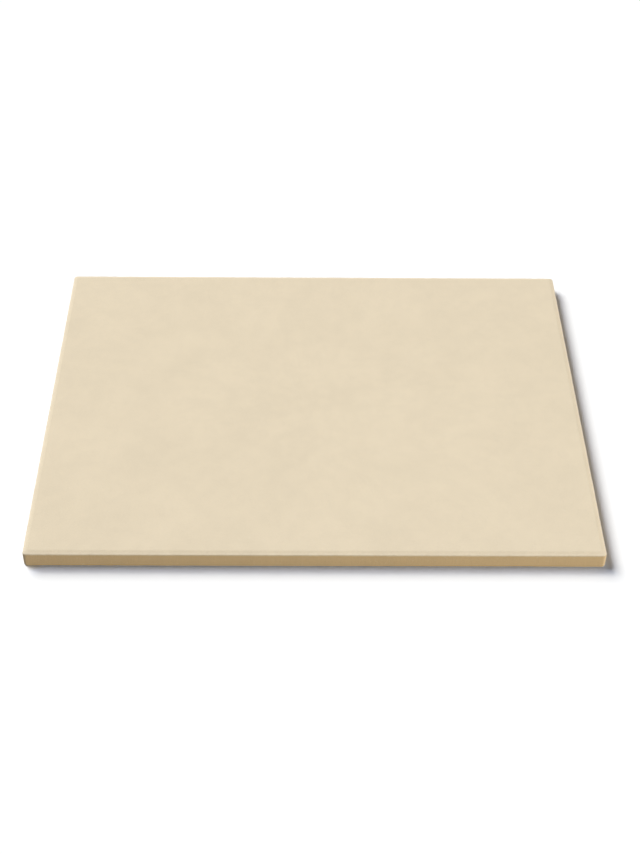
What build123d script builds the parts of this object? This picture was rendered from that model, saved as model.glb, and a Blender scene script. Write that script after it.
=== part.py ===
"""Rectangular pizza stone: one slab of pressed and fired cordierite, in millimetres.

The slab lies on z = 0 with its long side along X and its front wall towards -Y.
The origin is the middle of its underside.
"""

from build123d import *

import os

# The slab
slab_length = 380.0
slab_depth = 300.0
slab_thickness = 12.0
upright_corner_radius = 2.5

# The low bevel that the press leaves all round the baking face
rim_bevel_width = 3.2
rim_bevel_drop = 1.0
rim_crease_radius = 3.0
baking_face_corner_radius = 1.6

# The arrises, rubbed down before firing
rim_arris_radius = 0.7
foot_arris_radius = 1.0

wall_height = slab_thickness - rim_bevel_drop
baking_face_length = slab_length - 2 * rim_bevel_width
baking_face_depth = slab_depth - 2 * rim_bevel_width


def perimeter_at(part, height):
    """The closed run of edges that lies level all round a part at one height."""
    levels = part.edges().group_by(Axis.Z)
    return min(levels, key=lambda run: abs(run[0].center().Z - height))


with BuildPart() as stone_slab:
    # The body, from the underside up to the foot of the bevel
    with BuildSketch():
        RectangleRounded(slab_length, slab_depth, upright_corner_radius)
    extrude(amount=wall_height)

    # The bevelled rim, from the wall's outline in to the baking face
    with BuildSketch(Plane.XY.offset(wall_height)):
        RectangleRounded(slab_length, slab_depth, upright_corner_radius)
    with BuildSketch(Plane.XY.offset(slab_thickness)):
        RectangleRounded(baking_face_length, baking_face_depth, baking_face_corner_radius)
    loft(ruled=True)

    # A soft crease inside the rim, and small round arrises above and below the wall
    fillet(perimeter_at(stone_slab, slab_thickness), rim_crease_radius)
    fillet(perimeter_at(stone_slab, wall_height), rim_arris_radius)
    fillet(perimeter_at(stone_slab, 0), foot_arris_radius)

stone_slab.part.label = "stone_slab"

os.makedirs("parts", exist_ok=True)
export_step(stone_slab.part, "parts/stone_slab.step")
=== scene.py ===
"""The looks of a rectangular pizza stone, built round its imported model.

One slab of pressed and fired cordierite lies on a pale floor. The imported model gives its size. The
slab's skin is swept here round its plan from the section of its edge, and then gets the small faults
that pressing, firing and handling leave. Lengths are in metres.
"""

import logging
import math
from collections.abc import Mapping
from dataclasses import dataclass, field
from enum import Enum
from functools import partial, reduce
from typing import ClassVar

import bpy
import numpy as np
from mathutils import Matrix, Vector
from mathutils.geometry import delaunay_2d_cdt


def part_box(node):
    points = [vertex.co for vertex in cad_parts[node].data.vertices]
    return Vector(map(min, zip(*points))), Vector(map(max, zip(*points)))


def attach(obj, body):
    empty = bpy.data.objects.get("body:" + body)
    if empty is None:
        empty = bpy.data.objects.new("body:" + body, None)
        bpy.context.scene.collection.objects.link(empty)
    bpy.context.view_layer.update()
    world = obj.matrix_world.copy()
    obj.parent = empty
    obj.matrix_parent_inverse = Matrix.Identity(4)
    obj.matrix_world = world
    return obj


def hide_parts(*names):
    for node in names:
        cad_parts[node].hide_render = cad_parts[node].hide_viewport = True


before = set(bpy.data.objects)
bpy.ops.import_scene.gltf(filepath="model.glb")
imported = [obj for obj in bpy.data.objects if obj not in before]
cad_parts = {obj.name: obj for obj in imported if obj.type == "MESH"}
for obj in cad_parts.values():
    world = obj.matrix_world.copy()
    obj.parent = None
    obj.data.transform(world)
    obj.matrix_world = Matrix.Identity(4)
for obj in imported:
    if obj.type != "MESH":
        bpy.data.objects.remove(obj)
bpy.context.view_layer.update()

MM = 0.001
NOISE_MIDDLE = 0.5
HALF_MARKED = 0.5
Colour = tuple[float, float, float, float]
Span = tuple[float, float]
Socket = bpy.types.NodeSocket
Outputs = bpy.types.NodeOutputs

log = logging.getLogger("pizza_stone")


def grey(level: float) -> Colour:
    """Give an opaque neutral colour of one linear level."""
    return (level, level, level, 1.0)


def new_object(name: str, data: bpy.types.ID) -> bpy.types.Object:
    """Put a new object into the scene.

    Args:
        name: the object's name.
        data: its mesh, light or camera.

    Returns:
        The object.
    """
    thing = bpy.data.objects.new(name, data)
    bpy.context.scene.collection.objects.link(thing)
    return thing


class Side(Enum):
    """The side of a node group that a socket is on."""

    INPUT = "INPUT"
    OUTPUT = "OUTPUT"


def add_sockets(tree: bpy.types.NodeTree, side: Side, kind: str, *labels: str) -> None:
    """Give a node group inputs or outputs of one kind.

    Args:
        tree: the group.
        side: the side that they are on.
        kind: the kind of socket, such as Float.
        labels: the sockets' names, in order.
    """
    for label in labels:
        tree.interface.new_socket(label, in_out=side.value, socket_type=f"NodeSocket{kind}")


class TreeMaker:
    """Adds nodes to one node tree, and links each as it comes."""

    def __init__(self, tree: bpy.types.NodeTree) -> None:
        """Take the shader or geometry node tree to add to."""
        self.tree = tree

    def feed(self, socket: Socket, value: object) -> None:
        """Link or set one input.

        Args:
            socket: the input.
            value: an output's socket, or the value that the input keeps.
        """
        if isinstance(value, Socket):
            self.tree.links.new(value, socket)
        else:
            socket.default_value = value

    def add(self, kind: str, inputs: Mapping[str, object] | None = None,
            **options: object) -> bpy.types.Node:
        """Add one node.

        Args:
            kind: the node's type name.
            inputs: what feeds each input, by the input's identifier.
            options: the node's own options.

        Returns:
            The new node.
        """
        node = self.tree.nodes.new(kind)
        for name, choice in options.items():
            setattr(node, name, choice)
        sockets = {socket.identifier: socket for socket in node.inputs}
        for key, value in (inputs or {}).items():
            self.feed(sockets[key], value)
        return node

    @staticmethod
    def output(node: bpy.types.Node, identifier: str) -> Socket:
        """Find one of a node's outputs by its identifier."""
        return next(socket for socket in node.outputs if socket.identifier == identifier)

    def math(self, operation: str, *terms: object, clamp: bool = False) -> Socket:
        """Add a Math node.

        Args:
            operation: what it does.
            terms: its numbers or sockets, in order.
            clamp: whether the result stays between 0 and 1.

        Returns:
            The result's socket.
        """
        node = self.add("ShaderNodeMath", operation=operation, use_clamp=clamp)
        for socket, term in zip(node.inputs, terms):
            self.feed(socket, term)
        return node.outputs[0]

    def plus(self, *terms: object) -> Socket:
        """Add up numbers or sockets."""
        return reduce(partial(self.math, "ADD"), terms)

    def times(self, *terms: object) -> Socket:
        """Multiply numbers or sockets."""
        return reduce(partial(self.math, "MULTIPLY"), terms)

    def most(self, *terms: object) -> Socket:
        """Take the greatest of numbers or sockets."""
        return reduce(partial(self.math, "MAXIMUM"), terms)

    def minus(self, term: object, less: object) -> Socket:
        """Take one number or socket from another."""
        return self.math("SUBTRACT", term, less)

    def over(self, term: object, part: object) -> Socket:
        """Divide one number or socket by another."""
        return self.math("DIVIDE", term, part)

    def vector(self, operation: str, *terms: object, scale: object = None) -> Socket:
        """Add a Vector Math node.

        Args:
            operation: what it does.
            terms: its vectors or sockets, in order.
            scale: the number for the SCALE operation.

        Returns:
            The result's socket, a number for LENGTH.
        """
        node = self.add("ShaderNodeVectorMath", operation=operation)
        for socket, term in zip(node.inputs, terms):
            self.feed(socket, term)
        if scale is not None:
            self.feed(node.inputs["Scale"], scale)
        return node.outputs["Value" if operation == "LENGTH" else "Vector"]

    def noise(self, place: object, size: object, detail: float = 2.0,
              roughness: float = 0.5) -> bpy.types.Node:
        """Add a noise pattern.

        Args:
            place: where the pattern is read.
            size: about how wide its patches are.
            detail: how many finer layers it has.
            roughness: how strong the finer layers are.

        Returns:
            The noise node, whose first output lies about 0.5.
        """
        scale = self.over(1.0, size)
        wanted = {"Vector": place, "Scale": scale, "Detail": detail, "Roughness": roughness}
        return self.add("ShaderNodeTexNoise", wanted)

    def step(self, value: object, start: object, end: object, low: object = 0.0,
             high: object = 1.0) -> Socket:
        """Add a smooth step from one level to another.

        Args:
            value: what is read.
            start: the reading where the step begins.
            end: the reading where it ends.
            low: the level before the step.
            high: the level after it.

        Returns:
            The level's socket.
        """
        wanted = {"Value": value, "From Min": start, "From Max": end, "To Min": low, "To Max": high}
        return self.add("ShaderNodeMapRange", wanted, interpolation_type="SMOOTHSTEP").outputs[0]

    def blend(self, share: object, under: object, over: object, how: str = "MIX") -> Socket:
        """Lay one colour over another.

        Args:
            share: how much of the upper one counts.
            under: the lower colour or its socket.
            over: the upper colour or its socket.
            how: the kind of mix.

        Returns:
            The colour's socket.
        """
        wanted = {"Factor_Float": share, "A_Color": under, "B_Color": over}
        node = self.add("ShaderNodeMix", wanted, data_type="RGBA", blend_type=how)
        return next(socket for socket in node.outputs if socket.type == "RGBA")

    def seen(self) -> Socket:
        """Tell the rays that show a thing to the camera from those that only light it.

        Returns:
            The socket of 1 for a camera, glossy or transmission ray, and of 0 for any other.
        """
        rays = self.add("ShaderNodeLightPath").outputs
        kinds = ("Is Camera Ray", "Is Glossy Ray", "Is Transmission Ray")
        return self.most(*(rays[kind] for kind in kinds))


@dataclass(frozen=True)
class Effect:
    """One effect that several finishes share, built once as a shader node group."""

    title: ClassVar[str] = ""
    entries: ClassVar[tuple[str, ...]] = ()
    results: ClassVar[tuple[str, ...]] = ()

    def wire(self, make: TreeMaker, given: Outputs) -> tuple[Socket, ...]:
        """Build the effect's nodes.

        Args:
            make: the maker of the group's tree.
            given: the group's inputs, by name.

        Returns:
            A socket for each result.
        """
        raise NotImplementedError

    def group(self) -> bpy.types.ShaderNodeTree:
        """Find or build the effect's group.

        Returns:
            The node group.
        """
        known = bpy.data.node_groups.get(self.title)
        if known:
            return known
        tree = bpy.data.node_groups.new(self.title, "ShaderNodeTree")
        add_sockets(tree, Side.INPUT, "Vector", "Place")
        add_sockets(tree, Side.INPUT, "Float", *self.entries)
        add_sockets(tree, Side.OUTPUT, "Float", *self.results)
        make = TreeMaker(tree)
        given = make.add("NodeGroupInput").outputs
        out = make.add("NodeGroupOutput")
        for socket, result in zip(out.inputs, self.wire(make, given)):
            make.feed(socket, result)
        return tree

    def place(self, make: TreeMaker, place: Socket, *values: float) -> Outputs:
        """Use the effect in a material.

        Args:
            make: the maker of the material's tree.
            place: where the effect is read.
            values: a number for each entry.

        Returns:
            The effect's outputs, by name.
        """
        node = make.add("ShaderNodeGroup", node_tree=self.group())
        make.feed(node.inputs["Place"], place)
        for entry, value in zip(self.entries, values):
            make.feed(node.inputs[entry], value)
        return node.outputs


@dataclass(frozen=True)
class Clouding(Effect):
    """Soft patches where the firing left the clay a little lighter or darker."""

    title: ClassVar[str] = "Firing clouds"
    entries: ClassVar[tuple[str, ...]] = ("Patch Size", "Amount")
    results: ClassVar[tuple[str, ...]] = ("Tone",)
    detail: ClassVar[float] = 3.0
    darkest_below: ClassVar[float] = 0.3
    lightest_above: ClassVar[float] = 0.7

    def wire(self, make: TreeMaker, given: Outputs) -> tuple[Socket, ...]:
        """Build a tone about 1 that drifts over the surface.

        Args:
            make: the maker of the group's tree.
            given: the group's inputs, by name.

        Returns:
            The tone's socket.
        """
        patches = make.noise(given["Place"], given["Patch Size"], detail=self.detail).outputs[0]
        darkest = make.minus(1.0, given["Amount"])
        lightest = make.plus(1.0, given["Amount"])
        return (make.step(patches, self.darkest_below, self.lightest_above, darkest, lightest),)


@dataclass(frozen=True)
class SandyGrain(Effect):
    """The grain of crushed clay that shows on an unglazed face."""

    title: ClassVar[str] = "Sandy grain"
    entries: ClassVar[tuple[str, ...]] = ("Grain Size", "Amount")
    results: ClassVar[tuple[str, ...]] = ("Height", "Tone")
    dust_detail: ClassVar[float] = 4.0
    dust_roughness: ClassVar[float] = 0.62
    dust_share: ClassVar[float] = 0.65
    cells_per_grain: ClassVar[float] = 0.8
    grain_foot: ClassVar[float] = 0.75
    grain_top: ClassVar[float] = 0.1

    def wire(self, make: TreeMaker, given: Outputs) -> tuple[Socket, ...]:
        """Build round grains set in a finer dust.

        Args:
            make: the maker of the group's tree.
            given: the group's inputs, by name.

        Returns:
            The sockets of the height, from 0 to 1, and of the tone about 1.
        """
        size = given["Grain Size"]
        dust = make.noise(given["Place"], size, self.dust_detail, self.dust_roughness).outputs[0]
        cells = make.add("ShaderNodeTexVoronoi", {"Vector": given["Place"]}, feature="SMOOTH_F1")
        make.feed(cells.inputs["Scale"], make.over(self.cells_per_grain, size))
        bumps = make.step(cells.outputs["Distance"], self.grain_foot, self.grain_top)
        height = make.plus(make.times(dust, self.dust_share), make.times(bumps, 1.0 - self.dust_share))
        swing = make.times(make.minus(dust, NOISE_MIDDLE), make.times(given["Amount"], 2.0))
        return height, make.plus(swing, 1.0)


@dataclass(frozen=True)
class Flecks(Effect):
    """Single grains of another mineral, thinly strewn."""

    title: ClassVar[str] = "Mineral flecks"
    entries: ClassVar[tuple[str, ...]] = ("Spacing", "Size", "Share")
    results: ClassVar[tuple[str, ...]] = ("Mask",)
    smallest: ClassVar[float] = 0.3
    core_share: ClassVar[float] = 0.6

    def wire(self, make: TreeMaker, given: Outputs) -> tuple[Socket, ...]:
        """Build small ragged dots, in a share of the pattern's cells.

        Args:
            make: the maker of the group's tree.
            given: the group's inputs, by name.

        Returns:
            The mask's socket.
        """
        shake = make.noise(given["Place"], given["Size"], detail=1.0).outputs["Color"]
        shake = make.vector("SUBTRACT", shake, (NOISE_MIDDLE,) * 3)
        place = make.vector("ADD", given["Place"], make.vector("SCALE", shake, scale=given["Size"]))
        cells = make.add("ShaderNodeTexVoronoi", {"Vector": place})
        make.feed(cells.inputs["Scale"], make.over(1.0, given["Spacing"]))
        draw = make.add("ShaderNodeSeparateColor", {"Color": cells.outputs["Color"]}).outputs
        reach = make.over(given["Size"], given["Spacing"])
        reach = make.times(reach, make.step(draw[1], 0.0, 1.0, self.smallest, 1.0))
        core = make.times(reach, self.core_share)
        dot = make.step(cells.outputs["Distance"], reach, core)
        chosen = make.math("LESS_THAN", draw[0], given["Share"])
        return (make.times(dot, chosen),)


@dataclass(frozen=True)
class Section:
    """The sizes of the slab's plan and of the section of its edge."""

    half_length: float
    half_depth: float
    thickness: float
    upright_radius: float = 2.5 * MM
    face_corner_radius: float = 1.6 * MM
    bevel_width: float = 3.2 * MM
    bevel_drop: float = 1.0 * MM
    crease_radius: float = 3.0 * MM
    rim_arris_radius: float = 0.7 * MM
    foot_arris_radius: float = 1.0 * MM

    @property
    def wall_height(self) -> float:
        """The height at which the wall's line meets the bevel's."""
        return self.thickness - self.bevel_drop

    @property
    def half_plan(self) -> np.ndarray:
        """Half the plan's length and half its depth."""
        return np.array([self.half_length, self.half_depth])


@dataclass(frozen=True)
class Zones:
    """Where a point lies on the slab, from which masks tell the slab's faces apart."""

    make: TreeMaker
    height: Socket
    inset: Socket
    corner: Socket
    sway_size: ClassVar[float] = 1.4 * MM
    sway_detail: ClassVar[float] = 3.0
    core_share: ClassVar[float] = 0.3

    @classmethod
    def read(cls, make: TreeMaker, place: Socket, size: Section,
             sway_reach: float = 0.9 * MM) -> "Zones":
        """Measure a point against the slab's plan.

        Args:
            make: the maker of the material's tree.
            place: the point.
            size: the slab's section.
            sway_reach: how far the borders between the faces sway.

        Returns:
            The point's height, its distance inside the outline and how far it lies round a corner.
        """
        x, y, height = make.add("ShaderNodeSeparateXYZ", {"Vector": place}).outputs
        over_x = make.minus(make.math("ABSOLUTE", x), size.half_length - size.upright_radius)
        over_y = make.minus(make.math("ABSOLUTE", y), size.half_depth - size.upright_radius)
        past = {"X": make.most(over_x, 0.0), "Y": make.most(over_y, 0.0)}
        outer = make.vector("LENGTH", make.add("ShaderNodeCombineXYZ", past).outputs[0])
        inner = make.math("MINIMUM", make.most(over_x, over_y), 0.0)
        reach = make.plus(outer, inner)
        patch = make.noise(place, cls.sway_size, detail=cls.sway_detail).outputs[0]
        sway = make.times(make.minus(patch, NOISE_MIDDLE), sway_reach)
        inset = make.plus(make.minus(size.upright_radius, reach), sway)
        corner = make.plus(make.math("MINIMUM", over_x, over_y), sway)
        return cls(make, make.plus(height, sway), inset, corner)

    def near(self, inset: float, height: float, reach: float) -> Socket:
        """Mark the skin close to one line of the section.

        Args:
            inset: the line's distance inside the outline.
            height: the line's height.
            reach: how far the mark goes.

        Returns:
            The mask's socket.
        """
        make = self.make
        across = make.minus(self.inset, inset)
        up = make.minus(self.height, height)
        offset = make.add("ShaderNodeCombineXYZ", {"X": across, "Y": up}).outputs[0]
        return make.step(make.vector("LENGTH", offset), reach, reach * self.core_share)


def new_material(name: str) -> tuple[bpy.types.Material, TreeMaker]:
    """Start a material with an empty tree.

    Args:
        name: the material's name.

    Returns:
        The material, and the maker of its tree.
    """
    material = bpy.data.materials.new(name)
    material.use_nodes = True
    material.node_tree.nodes.clear()
    return material, TreeMaker(material.node_tree)


def matt_surface(make: TreeMaker, colour: Socket, rough: Socket, height: Socket, relief: float,
                 specular: float) -> None:
    """End a material in a matt surface with a fine relief.

    Args:
        make: the maker of the material's tree.
        colour: the colour's socket.
        rough: the roughness's socket.
        height: the socket of the relief's height, from 0 to 1.
        relief: how deep the relief is.
        specular: how strongly the surface mirrors.
    """
    bump = make.add("ShaderNodeBump", {"Strength": 1.0, "Distance": relief, "Height": height})
    shader = make.add("ShaderNodeBsdfPrincipled", {
        "Base Color": colour, "Roughness": rough, "Normal": bump.outputs[0]})
    shader.inputs["Specular IOR Level"].default_value = specular
    make.add("ShaderNodeOutputMaterial", {"Surface": shader.outputs[0]})


@dataclass(frozen=True)
class Strewn:
    """Grains or pores of one sort, thinly strewn in the skin."""

    colour: Colour
    spacing: float
    size: float
    share: float
    strength: float
    shift: float
    sunk: float = 0.0


@dataclass(frozen=True)
class Rub:
    """A paler band along one arris, rubbed by handling; along the rim's arris it is partly a painted
    highlight.
    """

    inset: float
    lift: float
    reach: float
    strength: float


@dataclass(frozen=True)
class FiredSkin:
    """The slab's outside: pale where it was pressed smooth, warmer on its underside, and on its walls
    warmer partly by its own colour and partly by painted warm shade.
    """

    section: Section
    face_colour: Colour = (0.80, 0.69, 0.512, 1.0)
    # the wall's colour: partly its own warmer tone, partly painted warm shade
    wall_colour_and_painted_shade: Colour = (0.718, 0.541, 0.308, 1.0)
    underside_colour: Colour = (0.75, 0.60, 0.40, 1.0)
    # paler colour of rubbed arrises, which on the rim's arris and the upright corners is partly a
    # painted highlight
    worn_and_highlight_colour: Colour = (0.855, 0.75, 0.572, 1.0)
    chalk: Strewn = Strewn(colour=(0.90, 0.84, 0.72, 1.0), spacing=1.5 * MM, size=0.32 * MM,
                           share=0.6, strength=0.45, shift=0.3)
    ochre: Strewn = Strewn(colour=(0.62, 0.46, 0.28, 1.0), spacing=1.7 * MM, size=0.26 * MM,
                           share=0.6, strength=0.38, shift=0.7)
    iron: Strewn = Strewn(colour=(0.22, 0.13, 0.07, 1.0), spacing=2.2 * MM, size=0.18 * MM,
                          share=0.5, strength=0.45, shift=1.1)
    # pores: dark specks sunk in the relief, their darkness painted shade inside tiny pores
    pores: Strewn = Strewn(colour=(0.50, 0.38, 0.23, 1.0), spacing=1.0 * MM, size=0.15 * MM,
                           share=0.7, strength=0.50, shift=1.9, sunk=0.6)
    patch_size: float = 38.0 * MM
    patch_amount: float = 0.016
    cloud_size: float = 9.0 * MM
    cloud_amount: float = 0.012
    grain_size: float = 0.6 * MM
    grain_amount: float = 0.10
    dust_size: float = 0.19 * MM
    dust_amount: float = 0.36
    line_width: float = 0.5 * MM
    line_detail: float = 3.0
    line_stretch: float = 0.05
    line_tone: float = 0.24
    wall_lines: float = 0.5
    underside_lines: float = 0.35
    coarse_share: float = 0.6
    # painted shade: the bevel and the line of its crease are darkened in colour
    bevel_painted_shade: float = 0.972
    bevel_fade: float = 0.3 * MM
    crease_painted_shade: float = 0.984
    crease_shade_reach: float = 1.1 * MM
    wall_fade_drops: Span = (0.1 * MM, 0.7 * MM)
    wall_fade_insets: Span = (1.4 * MM, 0.5 * MM)
    underside_fade: Span = (0.7 * MM, 0.1 * MM)
    # the rim's band is partly wear and partly a painted highlight along the arris
    rim_rub_and_highlight: Rub = Rub(inset=0.55 * MM, lift=0.05 * MM, reach=1.35 * MM, strength=1.0)
    foot_rub: Rub = Rub(inset=0.3 * MM, lift=0.3 * MM, reach=1.1 * MM, strength=0.6)
    # the upright corners' band is partly wear and partly a painted highlight
    upright_rub_and_highlight_width: float = 2.2 * MM
    upright_rub_and_highlight_strength: float = 0.5
    rub_patch_size: float = 5.0 * MM
    rub_patch_detail: float = 5.0
    rub_patch_roughness: float = 0.65
    rub_patch_range: Span = (0.3, 0.62)
    least_rub: float = 0.25
    relief: float = 0.09 * MM
    roughness: float = 0.83
    roughness_swing: float = 0.08
    wear_polish: float = 0.05
    specular: float = 0.3

    def material(self) -> bpy.types.Material:
        """Build the material.

        Returns:
            The finished material.
        """
        material, make = new_material("Fired cordierite skin")
        place = make.add("ShaderNodeTexCoord").outputs["Object"]
        zones = Zones.read(make, place, self.section)
        wall = self._wall(zones)
        under = make.step(zones.height, *self.underside_fade)
        wear_and_highlight = self._wear_and_highlight(zones, wall, place)
        tone, height = self._texture(make, place, wall, under)
        # painted shade darkens the bevel and its crease
        tone = make.times(tone, *self._rim_painted_shade(zones))
        # the walls take a warmer colour that is partly painted warm shade
        colour = make.blend(wall, self.face_colour, self.wall_colour_and_painted_shade)
        colour = make.blend(under, colour, self.underside_colour)
        # paler arrises: partly wear, partly painted highlight
        colour = make.blend(wear_and_highlight, colour, self.worn_and_highlight_colour)
        colour = make.blend(1.0, colour, tone, "MULTIPLY")
        for sort in (self.chalk, self.ochre, self.iron, self.pores):
            spot = make.vector("ADD", place, (sort.shift,) * 3)
            mask = Flecks().place(make, spot, sort.spacing, sort.size, sort.share)["Mask"]
            colour = make.blend(make.times(mask, sort.strength), colour, sort.colour)
            if sort.sunk:
                height = make.minus(height, make.times(mask, sort.sunk))
        dry = make.plus(make.times(height, self.roughness_swing), self.roughness)
        rough = make.minus(dry, make.times(wear_and_highlight, self.wear_polish))
        matt_surface(make, colour, rough, height, self.relief, self.specular)
        return material

    def _wall(self, zones: Zones) -> Socket:
        """Mark the upright wall, below the rim's arris.

        Args:
            zones: where a point lies.

        Returns:
            The mask's socket.
        """
        heights = (self.section.wall_height - drop for drop in self.wall_fade_drops)
        low = zones.make.step(zones.height, *heights)
        outer = zones.make.step(zones.inset, *self.wall_fade_insets)
        return zones.make.times(low, outer)

    def _rim_painted_shade(self, zones: Zones) -> tuple[Socket, Socket]:
        """Paint shade onto the rim, over the bevel and along its crease.

        Args:
            zones: where a point lies.

        Returns:
            The sockets of the bevel's painted shade and of its crease's, which are 1 everywhere else.
        """
        make, width = zones.make, self.section.bevel_width
        flat, slope = width + self.bevel_fade, width - self.bevel_fade
        bevel = make.step(zones.inset, flat, slope, 1.0, self.bevel_painted_shade)
        line = zones.near(width, self.section.thickness, self.crease_shade_reach)
        return bevel, make.step(line, 0.0, 1.0, 1.0, self.crease_painted_shade)

    def _wear_and_highlight(self, zones: Zones, wall: Socket, place: Socket) -> Socket:
        """Mark where the skin is paler: rubbed by handling along the foot, and along the rim's arris
        and up the upright corners partly rubbed and partly a painted highlight.

        Args:
            zones: where a point lies.
            wall: the wall's mask.
            place: where the pattern is read.

        Returns:
            The mask's socket.
        """
        make = zones.make
        bands = []
        # each band: the foot's is wear, the rim's partly wear and partly painted highlight
        for rub, level in ((self.rim_rub_and_highlight, self.section.wall_height), (self.foot_rub, 0.0)):
            band = zones.near(rub.inset, level + rub.lift, rub.reach)
            bands.append(make.times(band, rub.strength))
        upright = make.times(make.step(zones.corner, 0.0, self.upright_rub_and_highlight_width), wall)
        bands.append(make.times(upright, self.upright_rub_and_highlight_strength))
        patches = make.noise(place, self.rub_patch_size, self.rub_patch_detail,
                             self.rub_patch_roughness).outputs[0]
        patchy = make.step(patches, *self.rub_patch_range, self.least_rub, 1.0)
        return make.times(make.most(*bands), patchy)

    def _texture(self, make: TreeMaker, place: Socket, wall: Socket,
                 under: Socket) -> tuple[Socket, Socket]:
        """Layer the clouds, the grain, the wall's drag lines and the underside's rubbed lines.

        Args:
            make: the maker of the material's tree.
            place: where the patterns are read.
            wall: the wall's mask.
            under: the underside's mask.

        Returns:
            The sockets of the tone about 1 and of the height from 0 to 1.
        """
        patches = Clouding().place(make, place, self.patch_size, self.patch_amount)["Tone"]
        clouds = Clouding().place(make, place, self.cloud_size, self.cloud_amount)["Tone"]
        grain = SandyGrain().place(make, place, self.grain_size, self.grain_amount)
        dust = SandyGrain().place(make, place, self.dust_size, self.dust_amount)
        upright = make.vector("MULTIPLY", place, (1.0, 1.0, self.line_stretch))
        lengthways = make.vector("MULTIPLY", place, (self.line_stretch, 1.0, 1.0))
        drag = make.noise(upright, self.line_width, detail=self.line_detail).outputs[0]
        rub = make.noise(lengthways, self.line_width, detail=self.line_detail).outputs[0]
        lines = make.step(under, 0.0, 1.0, drag, rub)
        lined = make.most(make.times(wall, self.wall_lines), make.times(under, self.underside_lines))
        sandy = make.plus(make.times(grain["Height"], self.coarse_share),
                          make.times(dust["Height"], 1.0 - self.coarse_share))
        height = make.plus(make.times(sandy, make.minus(1.0, lined)), make.times(lines, lined))
        streaks = make.times(make.minus(lines, NOISE_MIDDLE), make.times(lined, self.line_tone))
        tone = make.times(patches, clouds, grain["Tone"], dust["Tone"])
        return make.plus(tone, streaks), height


@dataclass(frozen=True)
class OpenedBody:
    """The coarser clay that shows inside a pinhole or a nick."""

    colour: Colour = (0.74, 0.62, 0.435, 1.0)
    cloud_size: float = 2.0 * MM
    cloud_amount: float = 0.05
    grain_size: float = 0.22 * MM
    grain_amount: float = 0.40
    relief: float = 0.12 * MM
    roughness: float = 0.9
    roughness_swing: float = 0.06
    specular: float = 0.2

    def material(self) -> bpy.types.Material:
        """Build the material.

        Returns:
            The finished material.
        """
        material, make = new_material("Opened cordierite body")
        place = make.add("ShaderNodeTexCoord").outputs["Object"]
        clouds = Clouding().place(make, place, self.cloud_size, self.cloud_amount)["Tone"]
        grain = SandyGrain().place(make, place, self.grain_size, self.grain_amount)
        tone = make.times(clouds, grain["Tone"])
        colour = make.blend(1.0, self.colour, tone, "MULTIPLY")
        rough = make.plus(make.times(grain["Height"], self.roughness_swing), self.roughness)
        matt_surface(make, colour, rough, grain["Height"], self.relief, self.specular)
        return material


class Fault(Enum):
    """The kinds of hole that the slab's skin has."""

    PINHOLE = "Pinhole"
    NICK = "Nick"


@dataclass(frozen=True)
class FaultShape:
    """How the prints of one kind of fault are strewn and shaped."""

    on_arris: bool
    candidates: float
    nearest: float
    shallowest: float
    deepest: float
    raggedness: float
    ball_detail: int


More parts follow.
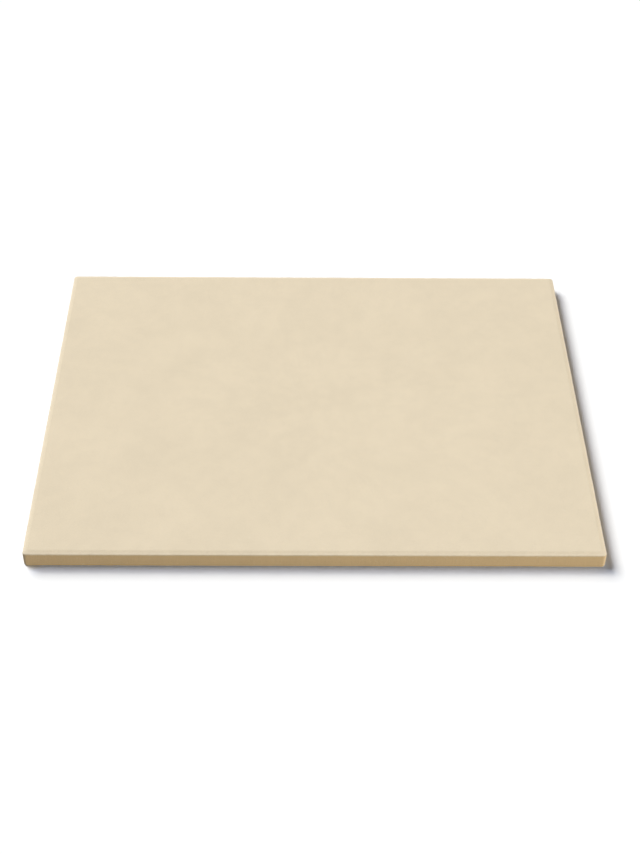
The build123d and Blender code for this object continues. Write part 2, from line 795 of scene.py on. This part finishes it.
@dataclass(frozen=True)
class FiringFaults:
    """What pressing, firing and handling do to the skin, as a geometry node tree."""

    sizes: Mapping[str, float] = field(default_factory=lambda: {
        "Ripple Height": 0.07 * MM, "Ripple Length": 16.0 * MM,
        "Rub Depth": 0.12 * MM, "Rub Length": 7.0 * MM,
        "Pinhole Spacing": 17.0 * MM, "Pinhole Radius": 0.36 * MM,
        "Nick Spacing": 30.0 * MM, "Nick Radius": 1.5 * MM})
    shapes: Mapping[Fault, FaultShape] = field(default_factory=lambda: {
        Fault.PINHOLE: FaultShape(on_arris=False, candidates=1.0, nearest=0.3, shallowest=0.80,
                                  deepest=0.25, raggedness=0.7, ball_detail=2),
        Fault.NICK: FaultShape(on_arris=True, candidates=20.0, nearest=1.0, shallowest=0.95,
                               deepest=0.84, raggedness=0.22, ball_detail=3)})
    ripple_range: Span = (0.3, 0.7)
    rub_range: Span = (0.35, 0.75)
    rub_detail: float = 3.0
    marked: float = 0.9
    smallest: float = 0.4
    squeeze: tuple[float, float, float] = (0.8, 0.8, 0.9)
    stretch: tuple[float, float, float] = (1.5, 1.2, 1.0)
    shake_size: float = 0.8
    seed: int = 7
    sharp_angle: float = math.radians(34)

    def tree(self) -> bpy.types.GeometryNodeTree:
        """Build the tree.

        Returns:
            A tree that takes the plain skin and gives the finished one.
        """
        tree = bpy.data.node_groups.new("Faults in the skin", "GeometryNodeTree")
        add_sockets(tree, Side.INPUT, "Geometry", "Geometry")
        add_sockets(tree, Side.INPUT, "Float", *self.sizes)
        add_sockets(tree, Side.INPUT, "Int", "Seed")
        add_sockets(tree, Side.INPUT, "Material", "Skin", "Opened Body")
        add_sockets(tree, Side.OUTPUT, "Geometry", "Geometry")
        make = TreeMaker(tree)
        given = make.add("NodeGroupInput").outputs
        skin = self._rippled(make, given)
        cut = skin
        for number, (fault, shape) in enumerate(self.shapes.items()):
            grains = self._grains(make, given, skin, fault.value, shape, number)
            cut = make.add("GeometryNodeMeshBoolean", {"Mesh 1": cut, "Mesh 2": grains},
                           operation="DIFFERENCE", solver="EXACT").outputs["Mesh"]
        whole = make.add("GeometryNodeTriangulate", {"Mesh": cut}).outputs[0]
        opened = self._mark(make, "opened")
        border = make.math("COMPARE", opened, HALF_MARKED, self.marked - HALF_MARKED)
        angle = make.add("GeometryNodeInputMeshEdgeAngle").outputs[0]
        crisp = make.most(border, make.math("GREATER_THAN", angle, self.sharp_angle))
        edged = make.add("GeometryNodeSetShadeSmooth", {
            "Geometry": whole, "Selection": crisp, "Shade Smooth": False}, domain="EDGE").outputs[0]
        real = make.add("GeometryNodeRealizeInstances", {"Geometry": edged}).outputs[0]
        clad = make.add("GeometryNodeSetMaterial", {
            "Geometry": real, "Material": given["Skin"]}).outputs[0]
        inside = make.math("GREATER_THAN", opened, self.marked)
        done = make.add("GeometryNodeSetMaterial", {
            "Geometry": clad, "Selection": inside, "Material": given["Opened Body"]}).outputs[0]
        make.feed(make.add("NodeGroupOutput").inputs[0], done)
        return tree

    @staticmethod
    def _mark(make: TreeMaker, name: str) -> Socket:
        """Read one of the mesh's marks, from 0 to 1."""
        return make.add("GeometryNodeInputNamedAttribute", {"Name": name}, data_type="FLOAT").outputs[0]

    @staticmethod
    def _moved(make: TreeMaker, geometry: Socket, offset: Socket) -> Socket:
        """Shift every point by its own offset."""
        return make.add("GeometryNodeSetPosition", {"Geometry": geometry, "Offset": offset}).outputs[0]

    def _rippled(self, make: TreeMaker, given: Outputs) -> Socket:
        """Sink the skin by a faint ripple, and its arrises by uneven rubbing.

        Args:
            make: the tree's maker.
            given: the tree's inputs, by name.

        Returns:
            The rippled skin's socket.
        """
        place = make.add("GeometryNodeInputPosition").outputs[0]
        wave = make.noise(place, given["Ripple Length"]).outputs[0]
        ripple = make.step(wave, *self.ripple_range, 0.0, given["Ripple Height"])
        patch = make.noise(place, given["Rub Length"], detail=self.rub_detail).outputs[0]
        rub = make.step(patch, *self.rub_range, 0.0, given["Rub Depth"])
        depth = make.plus(ripple, make.times(rub, self._mark(make, "arris")))
        normal = make.add("GeometryNodeInputNormal").outputs[0]
        inward = make.vector("SCALE", normal, scale=make.times(depth, -1.0))
        return self._moved(make, given["Geometry"], inward)

    def _grains(self, make: TreeMaker, given: Outputs, skin: Socket, label: str,
                shape: FaultShape, number: int) -> Socket:
        """Strew the rough grains that one kind of fault is the print of.

        Args:
            make: the tree's maker.
            given: the tree's inputs, by name.
            skin: the skin's socket.
            label: the fault's word in the inputs' names.
            shape: how the fault is strewn and shaped.
            number: the fault's place in the order, which keeps its random draws apart.

        Returns:
            The grains' socket.
        """
        spacing, radius = given[f"{label} Spacing"], given[f"{label} Radius"]
        seed = make.plus(given["Seed"], float(number))
        density = make.over(shape.candidates, make.math("POWER", spacing, 2.0))
        wanted = {"Mesh": skin, "Seed": seed, "Density Max": density,
                  "Distance Min": make.times(spacing, shape.nearest)}
        if shape.on_arris:
            wanted["Selection"] = make.math("GREATER_THAN", self._mark(make, "arris"), self.marked)
        spots = make.add("GeometryNodeDistributePointsOnFaces", wanted,
                         distribute_method="POISSON").outputs
        share = self._draw(make, self.smallest, 1.0, seed)
        reach = make.times(radius, share)
        depth = self._draw(make, shape.deepest, shape.shallowest, given["Seed"])
        lift = make.vector("SCALE", spots["Normal"], scale=make.times(reach, depth))
        raised = self._moved(make, spots["Points"], lift)
        limits = {"Min": self.squeeze, "Max": self.stretch, "Seed": seed}
        form = make.add("FunctionNodeRandomValue", limits, data_type="FLOAT_VECTOR")
        sphere = {"Radius": 1.0, "Subdivisions": shape.ball_detail}
        ball = make.add("GeometryNodeMeshIcoSphere", sphere).outputs[0]
        ball = make.add("GeometryNodeSetShadeSmooth", {"Geometry": ball}, domain="FACE").outputs[0]
        placed = make.add("GeometryNodeInstanceOnPoints", {
            "Points": raised, "Instance": ball, "Rotation": spots["Rotation"],
            "Scale": make.vector("SCALE", make.output(form, "Value"), scale=reach)}).outputs[0]
        real = make.add("GeometryNodeRealizeInstances", {"Geometry": placed}).outputs[0]
        place = make.add("GeometryNodeInputPosition").outputs[0]
        shake_size = make.times(radius, self.shake_size)
        shake = make.noise(place, shake_size, detail=1.0).outputs["Color"]
        shake = make.vector("SUBTRACT", shake, (NOISE_MIDDLE,) * 3)
        shake = make.vector("SCALE", shake, scale=make.times(radius, shape.raggedness))
        mark = {"Geometry": self._moved(make, real, shake), "Name": "opened", "Value": 1.0}
        return make.add("GeometryNodeStoreNamedAttribute", mark,
                        data_type="FLOAT", domain="FACE").outputs[0]

    @staticmethod
    def _draw(make: TreeMaker, low: float, high: float, seed: Socket) -> Socket:
        """Draw a number between two for each point."""
        node = make.add("FunctionNodeRandomValue", {"Min_001": low, "Max_001": high, "Seed": seed})
        return make.output(node, "Value_001")


@dataclass(frozen=True)
class Ring:
    """One level ring of the slab's skin."""

    inset: float
    height: float
    arris: bool


@dataclass(frozen=True)
class StoneSlab:
    """The slab, its skin swept from its section and cut by its faults."""

    section: Section
    faults: FiringFaults = FiringFaults()
    column_pitch: float = 1.0 * MM
    wall_pitch: float = 1.2 * MM
    field_pitch: float = 5.0 * MM
    field_margin: float = 0.8
    field_loops: tuple[tuple[float, int], ...] = ((1.2 * MM, 2), (3.2 * MM, 4), (6.5 * MM, 6))
    row_shifts: Span = (0.25, 0.75)
    merge_distance: float = 1e-7
    corner_steps: int = 10
    arris_steps: int = 6
    crease_steps: int = 5
    name: str = "fired_slab"
    node: str = "stone_slab"
    slot: str = "fired_cordierite"

    def rings(self) -> list[Ring]:
        """Round the section's corners, from the underside up to the baking face.

        Returns:
            The rings in order.
        """
        size = self.section
        inner = size.bevel_width * 2
        foot, rim, crease, underside, face = np.array([
            [0.0, 0.0], [0.0, size.wall_height], [size.bevel_width, size.thickness],
            [inner, 0.0], [inner, size.thickness]])
        foot_arc = self._arc(underside, foot, rim, size.foot_arris_radius, self.arris_steps)
        rim_arc = self._arc(foot, rim, crease, size.rim_arris_radius, self.arris_steps)
        crease_arc = self._arc(rim, crease, face, size.crease_radius, self.crease_steps)
        wall = self._run(foot_arc[-1], rim_arc[0])
        bevel = self._run(rim_arc[-1], crease_arc[0])
        runs = ((foot_arc, True), (wall, False), (rim_arc, True), (bevel, False), (crease_arc, False))
        return [Ring(float(inset), float(height), arris)
                for run, arris in runs for inset, height in run]

    @staticmethod
    def _arc(before: np.ndarray, corner: np.ndarray, after: np.ndarray, radius: float,
             steps: int) -> np.ndarray:
        """Round one corner of the section.

        Args:
            before: the corner before it.
            corner: the corner.
            after: the corner after it.
            radius: the arc's radius.
            steps: how many pieces the arc has.

        Returns:
            The arc's points, one row each.
        """
        back = (before - corner) / np.linalg.norm(before - corner)
        ahead = (after - corner) / np.linalg.norm(after - corner)
        half = math.acos(float(back @ ahead)) / 2
        centre = corner + (back + ahead) / np.linalg.norm(back + ahead) * radius / math.sin(half)
        start = corner + back * radius / math.tan(half) - centre
        end = corner + ahead * radius / math.tan(half) - centre
        turn = math.pi - 2 * half
        shares = np.linspace(0.0, 1.0, steps + 1)[:, None]
        swept = start * np.sin((1 - shares) * turn) + end * np.sin(shares * turn)
        return centre + swept / math.sin(turn)

    def _run(self, start: np.ndarray, end: np.ndarray) -> np.ndarray:
        """Divide a straight run of the section, without its two ends."""
        count = max(2, round(float(np.linalg.norm(end - start)) / self.wall_pitch))
        return start + (end - start) * np.linspace(0.0, 1.0, count + 1)[1:-1, None]

    def outline(self, inset: float, stride: int = 1) -> np.ndarray:
        """Trace the plan outline at one inset, anticlockwise from the right wall's back end.

        Args:
            inset: how far inside the slab's outline it runs.
            stride: keeps one point in so many.

        Returns:
            The outline's points, one row each.
        """
        size = self.section
        share = min(1.0, inset / size.bevel_width)
        radius = size.upright_radius + (size.face_corner_radius - size.upright_radius) * share
        middle = size.half_plan - inset - radius
        spans = 2 * (size.half_plan - size.upright_radius)
        counts = np.round(spans / self.column_pitch).astype(int)
        signs = np.array([[1, 1], [-1, 1], [-1, -1], [1, -1]])
        points: list[np.ndarray] = []
        for quarter in range(4):
            angles = (quarter + np.linspace(0.0, 1.0, self.corner_steps + 1)) * math.pi / 2
            arc = middle * signs[quarter] + radius * np.stack([np.cos(angles), np.sin(angles)], 1)
            across = middle * (signs[(quarter + 1) % 4] - signs[quarter])
            shares = np.linspace(0.0, 1.0, counts[quarter % 2] + 1)[1:-1, None]
            points += [arc, arc[-1] + across * shares]
        return np.concatenate(points)[::stride]

    def flat(self, edge: np.ndarray, inset: float) -> tuple[np.ndarray, np.ndarray]:
        """Fill one flat with triangles that grow towards its middle.

        Args:
            edge: the points of the flat's edge.
            inset: how far inside the slab's outline the edge lies.

        Returns:
            The points inside the edge, and the triangles over the edge's points and then those.
        """
        near = [self.outline(inset + gap, stride) for gap, stride in self.field_loops]
        margin = inset + self.field_loops[-1][0] + self.field_pitch * self.field_margin
        reach = self.section.half_plan - margin
        triangle_height = math.sqrt(0.75)
        counts = (2 * reach / self.field_pitch / np.array([1.0, triangle_height])).astype(int)
        xs, ys = (np.linspace(-end, end, count + 1) for end, count in zip(reach, counts))
        step = xs[1] - xs[0]
        rows = [np.stack([xs[:-1] + step * self.row_shifts[i % 2], np.full(len(xs) - 1, y)], 1)
                for i, y in enumerate(ys)]
        inside = np.concatenate([*near, *rows])
        spots = [Vector(spot) for spot in np.concatenate([edge, inside])]
        border = [list(range(len(edge)))]
        _, _, faces, sources, _, _ = delaunay_2d_cdt(spots, [], border, 1, self.merge_distance, True)
        number = [source[0] for source in sources]
        return inside, np.array([[number[corner] for corner in face] for face in faces])

    def skin(self) -> bpy.types.Mesh:
        """Make the slab's closed skin, before its faults.

        Returns:
            The mesh, with the point attribute arris.
        """
        rings = self.rings()
        loops = [self.outline(ring.inset) for ring in rings]
        columns = len(loops[0])
        here, ahead = np.arange(columns), np.roll(np.arange(columns), -1)
        points = [np.c_[loop, np.full(columns, ring.height)] for ring, loop in zip(rings, loops)]
        arris = [np.full(columns, float(ring.arris)) for ring in rings]
        faces: list[list[int]] = []
        for level in range(len(rings) - 1):
            low, high = level * columns, (level + 1) * columns
            faces += np.stack([here + low, ahead + low, ahead + high, here + high], 1).tolist()
        total = len(rings) * columns
        for level, turn in ((0, -1), (len(rings) - 1, 1)):
            inside, triangles = self.flat(loops[level], rings[level].inset)
            numbers = np.concatenate([here + level * columns, total + np.arange(len(inside))])
            faces += numbers[triangles][:, ::turn].tolist()
            points.append(np.c_[inside, np.full(len(inside), rings[level].height)])
            arris.append(np.zeros(len(inside)))
            total += len(inside)
        mesh = bpy.data.meshes.new(self.name)
        mesh.from_pydata(np.concatenate(points).tolist(), [], faces)
        attribute = mesh.attributes.new("arris", "FLOAT", "POINT")
        attribute.data.foreach_set("value", np.concatenate(arris).astype(np.float32))
        mesh.shade_smooth()
        return mesh

    def build(self) -> bpy.types.Object:
        """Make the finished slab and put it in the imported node's place.

        Returns:
            The slab's object.
        """
        slab = new_object(self.name, self.skin())
        tree = self.faults.tree()
        entries = (item for item in tree.interface.items_tree if item.in_out == Side.INPUT.value)
        sockets = {item.name: item.identifier for item in entries}
        modifier = slab.modifiers.new("Faults", "NODES")
        modifier.node_group = tree
        for label, value in self.faults.sizes.items():
            modifier[sockets[label]] = value
        modifier[sockets["Seed"]] = self.faults.seed
        modifier[sockets["Skin"]] = FiredSkin(self.section).material()
        modifier[sockets["Opened Body"]] = OpenedBody().material()
        graph = bpy.context.evaluated_depsgraph_get()
        finished = bpy.data.meshes.new_from_object(slab.evaluated_get(graph))
        slab.modifiers.remove(modifier)
        plain, slab.data = slab.data, finished
        bpy.data.meshes.remove(plain)
        finished.name = self.name
        for label in ("arris", "opened"):
            if label in finished.attributes:
                finished.attributes.remove(finished.attributes[label])
        for index in reversed(range(len(finished.materials))):
            if finished.materials[index] is None:
                finished.materials.pop(index=index)
        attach(slab, "root")
        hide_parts(self.node)
        return slab


@dataclass(frozen=True)
class StudioFloor:
    """The plain pale floor, which a camera sees as white beyond the slab's shadow.

    The slab's walls throw warm light into its shadow. The colour that a camera sees there is cooler
    by as much, so that the shadow stays grey.
    """

    section: Section
    half_size: float = 6.0
    lit_colour: Colour = grey(0.30)
    seen_colour: Colour = (1.06, 1.073, 1.09, 1.0)
    shadow_colour: Colour = (1.0, 1.22, 1.72, 1.0)
    shadow_offset: float = 6.0 * MM
    shadow_reach: float = 14.0 * MM
    shadow_falloff: float = 3.0

    def material(self) -> bpy.types.Material:
        """Build the material.

        Returns:
            The finished material.
        """
        material, make = new_material("Pale floor")
        place = make.add("ShaderNodeTexCoord").outputs["Object"]
        place = make.vector("SUBTRACT", place, (self.shadow_offset, -self.shadow_offset, 0.0))
        inset = Zones.read(make, place, self.section, sway_reach=0.0).inset
        away = make.minus(self.shadow_offset, inset)
        shaded = make.math("SUBTRACT", 1.0, make.over(away, self.shadow_reach), clamp=True)
        shaded = make.math("POWER", shaded, self.shadow_falloff)
        shown = make.blend(shaded, self.seen_colour, self.shadow_colour)
        colour = make.blend(make.seen(), self.lit_colour, shown)
        shader = make.add("ShaderNodeBsdfDiffuse", {"Color": colour})
        make.add("ShaderNodeOutputMaterial", {"Surface": shader.outputs[0]})
        return material

    def build(self) -> bpy.types.Object:
        """Make the floor.

        Returns:
            The floor's object.
        """
        mesh = bpy.data.meshes.new("floor")
        low, high = -self.half_size, self.half_size
        corners = [(low, low, 0.0), (high, low, 0.0), (high, high, 0.0), (low, high, 0.0)]
        mesh.from_pydata(corners, [], [(0, 1, 2, 3)])
        mesh.materials.append(self.material())
        floor = new_object("floor", mesh)
        return floor


@dataclass(frozen=True)
class KeyLamp:
    """A soft lamp that hangs at the back left."""

    left_of_back: float
    height: float
    level_light: float
    spread: float = math.radians(32)
    distance: float = 2.0

    @property
    def strength(self) -> float:
        """The sun strength that gives a level face its light."""
        return self.level_light * math.pi / math.sin(self.height)


@dataclass(frozen=True)
class StudioLight:
    """Soft light from the back left, with a low warm fill on the front wall.

    The photograph's shadow is deeper than the light on the slab's rim would cast. So the slab has a
    key of its own, and two lower ones light the floor.
    """

    slab_keys: tuple[KeyLamp, ...] = (
        KeyLamp(left_of_back=math.radians(44), height=math.radians(52), level_light=0.88),)
    floor_keys: tuple[KeyLamp, ...] = (
        KeyLamp(left_of_back=math.radians(64), height=math.radians(49.5), level_light=0.44),
        KeyLamp(left_of_back=math.radians(41), height=math.radians(40.5), level_light=0.44))
    room_strength: float = 0.08
    fill_watts: float = 35.5
    fill_colour: tuple[float, float, float] = (1.0, 0.92, 0.80)
    fill_right_of_front: float = math.radians(50)
    fill_height: float = math.radians(1)
    fill_distance: float = 2.3
    fill_size: tuple[float, float] = (1.04, 0.08)

    def build(self, slab: bpy.types.Object, floor: bpy.types.Object) -> None:
        """Make the keys, the fill and the world's even light.

        Args:
            slab: the slab's object.
            floor: the floor's object.
        """
        for keys, piece in ((self.slab_keys, slab), (self.floor_keys, floor)):
            lit = bpy.data.collections.new(f"{piece.name}_alone")
            lit.objects.link(piece)
            for number, one in enumerate(keys, 1):
                key = bpy.data.lights.new(f"{piece.name}_key_{number}", "SUN")
                key.energy, key.angle = one.strength, one.spread
                direction = self._direction(math.pi + one.left_of_back, one.height)
                lamp = self._hang(key, direction, one.distance)
                lamp.light_linking.receiver_collection = lit
        fill = bpy.data.lights.new("fill", "AREA")
        fill.energy, fill.shape, fill.color = self.fill_watts, "RECTANGLE", self.fill_colour
        fill.size, fill.size_y = self.fill_size
        direction = self._direction(self.fill_right_of_front, self.fill_height)
        lamp = self._hang(fill, direction, self.fill_distance)
        lamp.visible_camera = False
        self._world()

    @staticmethod
    def _direction(turn: float, height: float) -> Vector:
        """Point to a lamp, turned round the slab from straight in front towards the right."""
        flat = math.cos(height)
        return Vector((math.sin(turn) * flat, -math.cos(turn) * flat, math.sin(height)))

    @staticmethod
    def _hang(light: bpy.types.Light, direction: Vector, distance: float) -> bpy.types.Object:
        """Place a lamp so that it looks at the slab.

        Args:
            light: the lamp's light.
            direction: the direction from the slab to it.
            distance: how far off it hangs.

        Returns:
            The lamp's object.
        """
        lamp = new_object(light.name, light)
        lamp.location = direction * distance
        lamp.rotation_euler = direction.to_track_quat("Z", "Y").to_euler()
        return lamp

    def _world(self) -> None:
        """Light the room evenly, and show it white to the camera."""
        world = bpy.data.worlds.new("Studio")
        world.use_nodes = True
        world.node_tree.nodes.clear()
        make = TreeMaker(world.node_tree)
        lift = make.times(make.seen(), 1.0 - self.room_strength)
        strength = make.plus(lift, self.room_strength)
        sky = make.add("ShaderNodeBackground", {"Color": grey(1.0), "Strength": strength})
        make.add("ShaderNodeOutputWorld", {"Surface": sky.outputs[0]})
        bpy.context.scene.world = world


@dataclass(frozen=True)
class StudioCamera:
    """The camera, at the photograph's angle and distance."""

    place: tuple[float, float, float] = (-0.00785, -0.81534, 0.7318)
    lens: float = 63.534
    sensor: float = 36.0
    turn_right: float = math.radians(0.847)
    tilt_down: float = math.radians(42.417)
    roll_left: float = math.radians(0.773)

    def build(self) -> bpy.types.Object:
        """Make the camera the scene's own.

        Returns:
            The camera's object.
        """
        data = bpy.data.cameras.new("camera")
        data.lens, data.sensor_width = self.lens, self.sensor
        camera = new_object("camera", data)
        turn = Matrix.Rotation(-self.turn_right, 4, "Z")
        tilt = Matrix.Rotation(math.pi / 2 - self.tilt_down, 4, "X")
        roll = Matrix.Rotation(self.roll_left, 4, "Z")
        camera.matrix_world = Matrix.Translation(self.place) @ turn @ tilt @ roll
        bpy.context.scene.camera = camera
        return camera


def main() -> None:
    """Build the studio and the slab, and report each piece."""
    logging.basicConfig(level=logging.INFO, format="%(name)s: %(message)s")
    bpy.context.scene.view_settings.view_transform = "Standard"
    low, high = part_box(StoneSlab.node)
    section = Section(high.x, high.y, high.z - low.z)
    StudioCamera().build()
    floor = StudioFloor(section).build()
    slab = StoneSlab(section).build()
    StudioLight().build(slab, floor)
    log.info("%s: %d triangles", slab.name, len(slab.data.polygons))


if __name__ == "__main__":
    main()
